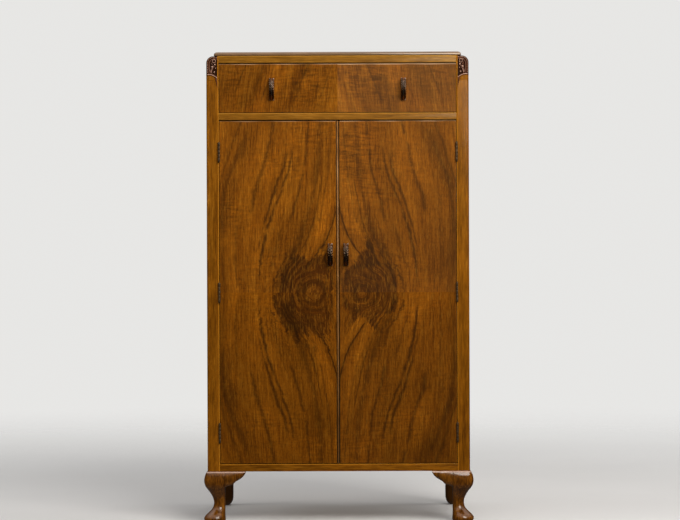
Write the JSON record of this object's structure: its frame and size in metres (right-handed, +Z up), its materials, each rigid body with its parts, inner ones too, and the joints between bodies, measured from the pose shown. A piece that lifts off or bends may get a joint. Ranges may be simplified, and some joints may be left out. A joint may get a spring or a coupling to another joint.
{
  "type": "wardrobe",
  "caption": "Compact walnut wardrobe with a long drawer over a pair of hinged doors, carved rounded shoulders, curved front legs with pad feet and plain back legs.",
  "frame": {"origin": "on the floor, in the middle of the overall width and of the overall depth with the handles", "axes": "+X to the right of someone facing the front, -Y out of the front with its doors and drawer, +Z up"},
  "size_m": [0.707, 0.482, 1.23],
  "materials": {
    "front_veneer": "quarter-matched figured walnut veneer under a glossy clear polish",
    "side_veneer": "straight-grained walnut veneer under a satin polish",
    "frame_walnut": "solid straight-grained walnut, glossy polish",
    "leg_walnut": "solid walnut, glossy polish",
    "carved_walnut": "carved and dark stained, glossy polish",
    "drawer_lining": "plain unpolished oak",
    "plywood": "unpolished plywood",
    "dark_bronze": "oxidised dark bronze with rubbed high spots",
    "aged_brass": "tarnished brass",
    "brass": "brushed brass",
    "polished_steel": "polished"
  },
  "bodies": {
    "case": {"left_side": "side_veneer", "right_side": "side_veneer", "left_front_stile": "frame_walnut", "right_front_stile": "frame_walnut", "left_corner_carving": "carved_walnut", "right_corner_carving": "carved_walnut", "bottom_rail": "frame_walnut", "middle_rail": "frame_walnut", "top_rail": "frame_walnut", "top_board": "side_veneer", "back_panel": "plywood", "bottom_board": "plywood", "dust_board": "plywood", "left_drawer_runner": "drawer_lining", "right_drawer_runner": "drawer_lining", "front_left_leg": "leg_walnut", "front_right_leg": "leg_walnut", "rear_left_leg": "leg_walnut", "rear_right_leg": "leg_walnut", "front_left_knee_block": "leg_walnut", "front_right_knee_block": "leg_walnut", "left_side_knee_block": "leg_walnut", "right_side_knee_block": "leg_walnut", "hanging_rail": "brass", "left_rail_socket": "brass", "right_rail_socket": "brass", "left_bottom_hinge_frame_leaf": "aged_brass", "left_middle_hinge_frame_leaf": "aged_brass", "left_top_hinge_frame_leaf": "aged_brass", "right_bottom_hinge_frame_leaf": "aged_brass", "right_middle_hinge_frame_leaf": "aged_brass", "right_top_hinge_frame_leaf": "aged_brass", "left_bottom_hinge_pin": "aged_brass", "left_middle_hinge_pin": "aged_brass", "left_top_hinge_pin": "aged_brass", "right_bottom_hinge_pin": "aged_brass", "right_middle_hinge_pin": "aged_brass", "right_top_hinge_pin": "aged_brass"},
    "drawer": {"drawer_front": "front_veneer", "drawer_left_side": "drawer_lining", "drawer_right_side": "drawer_lining", "drawer_back": "drawer_lining", "drawer_bottom": "plywood", "drawer_left_handle": "dark_bronze", "drawer_right_handle": "dark_bronze"},
    "left_door": {"left_door_panel": "front_veneer", "left_door_bead": "frame_walnut", "left_door_handle": "dark_bronze", "left_catch_barrel": "brass", "left_bottom_hinge_door_leaf": "aged_brass", "left_middle_hinge_door_leaf": "aged_brass", "left_top_hinge_door_leaf": "aged_brass"},
    "right_door": {"right_door_panel": "front_veneer", "right_door_handle": "dark_bronze", "right_catch_barrel": "brass", "right_bottom_hinge_door_leaf": "aged_brass", "right_middle_hinge_door_leaf": "aged_brass", "right_top_hinge_door_leaf": "aged_brass"},
    "left_ball": {"left_catch_ball": "polished_steel"},
    "right_ball": {"right_catch_ball": "polished_steel"}
  },
  "joints": [
    {"name": "drawer_slide", "type": "slide", "parent": "case", "child": "drawer", "axis": [0, -1, 0], "range_m": [0, 0.3]},
    {"name": "left_door_hinge", "type": "hinge", "parent": "case", "child": "left_door", "pos_m": [-0.3103, -0.2192, 0.601], "axis": [0, 0, -1], "range_deg": [0, 170]},
    {"name": "right_door_hinge", "type": "hinge", "parent": "case", "child": "right_door", "pos_m": [0.3103, -0.2192, 0.601], "axis": [0, 0, 1], "range_deg": [0, 170]},
    {"name": "left_catch_ball_slide", "type": "slide", "parent": "left_door", "child": "left_ball", "axis": [0, 0, -1], "range_m": [0, 0.0012], "stiffness_N_per_m": 60, "springref_m": -0.001},
    {"name": "right_catch_ball_slide", "type": "slide", "parent": "right_door", "child": "right_ball", "axis": [0, 0, -1], "range_m": [0, 0.0012], "stiffness_N_per_m": 60, "springref_m": -0.001}
  ]
}
